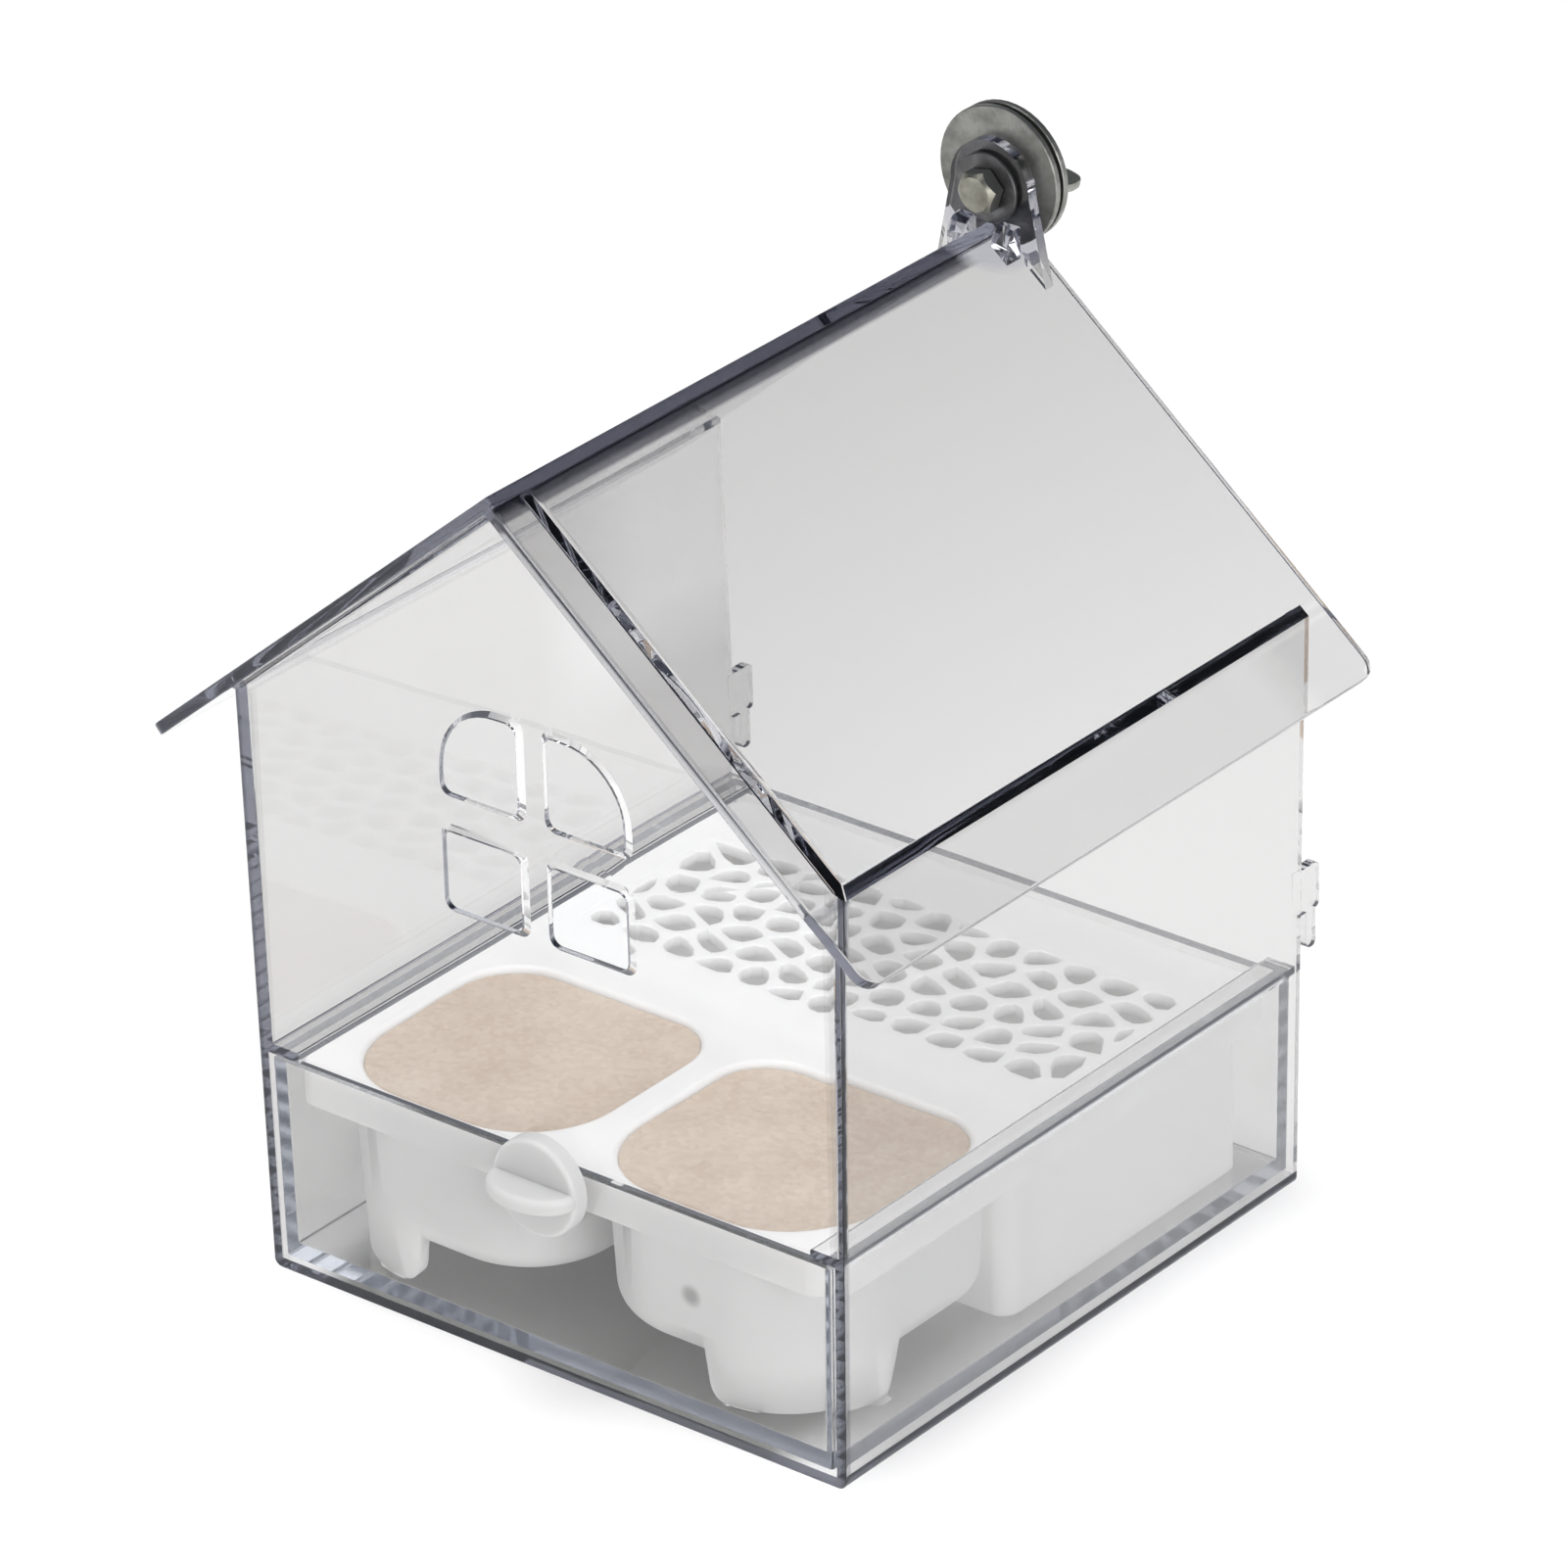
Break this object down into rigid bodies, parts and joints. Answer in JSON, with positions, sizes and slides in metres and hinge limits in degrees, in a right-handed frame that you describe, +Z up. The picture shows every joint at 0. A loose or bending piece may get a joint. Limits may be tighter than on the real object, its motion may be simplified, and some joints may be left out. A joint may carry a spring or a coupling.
{
  "type": "bird cage feeder",
  "caption": "Clear house-shaped feeder that hooks and clamps to a bird cage, open at the back, with a pull-out drawer, a white cup insert and a perforated standing area.",
  "frame": {"origin": "middle of the base plate's underside, where the feeder stands on a table", "axes": "+Z up to the ridge, +Y towards the cage, -Y towards the drawer's knob, X across the house"},
  "size_m": [0.1738, 0.1699, 0.2116],
  "materials": {
    "roof_clear": "gloss",
    "wall_clear": "gloss",
    "base_clear": "gloss",
    "drawer_clear": "gloss",
    "white_plastic": "satin",
    "bolt_steel": "satin",
    "washer_steel": "satin",
    "nut_steel": "satin"
  },
  "bodies": {
    "house": {"left_roof_panel": "roof_clear", "right_roof_panel": "roof_clear", "front_wall": "wall_clear", "left_side_wall": "wall_clear", "right_side_wall": "wall_clear", "left_hook": "wall_clear", "right_hook": "wall_clear", "base_plate": "base_clear", "left_ledge": "base_clear", "right_ledge": "base_clear", "hanger_ear": "base_clear", "hex_bolt": "bolt_steel", "head_washer": "washer_steel", "front_clamp_washer": "washer_steel"},
    "drawer": {"drawer_box": "drawer_clear", "drawer_knob": "white_plastic", "insert_tray": "white_plastic", "husk_skirt": "white_plastic", "left_cup": "white_plastic", "right_cup": "white_plastic", "standing_grille": "white_plastic"},
    "clamp": {"rear_clamp_washer": "washer_steel"},
    "nut": {"wing_nut": "nut_steel"}
  },
  "joints": [
    {"name": "drawer_slide", "type": "slide", "parent": "house", "child": "drawer", "axis": [0, -1, 0], "range_m": [0, 0.11]},
    {"name": "clamp_travel", "type": "slide", "parent": "house", "child": "clamp", "axis": [0, 1, 0], "range_m": [0, 0.0072]},
    {"name": "nut_spin", "type": "hinge", "parent": "clamp", "child": "nut", "pos_m": [0, 0.0782, 0.1962], "axis": [0, 1, 0], "range_deg": [0, 3240]}
  ],
  "couplings": [
    {"joint": "clamp_travel", "follows": "nut_spin", "m_per_rad": 0.00012732}
  ]
}
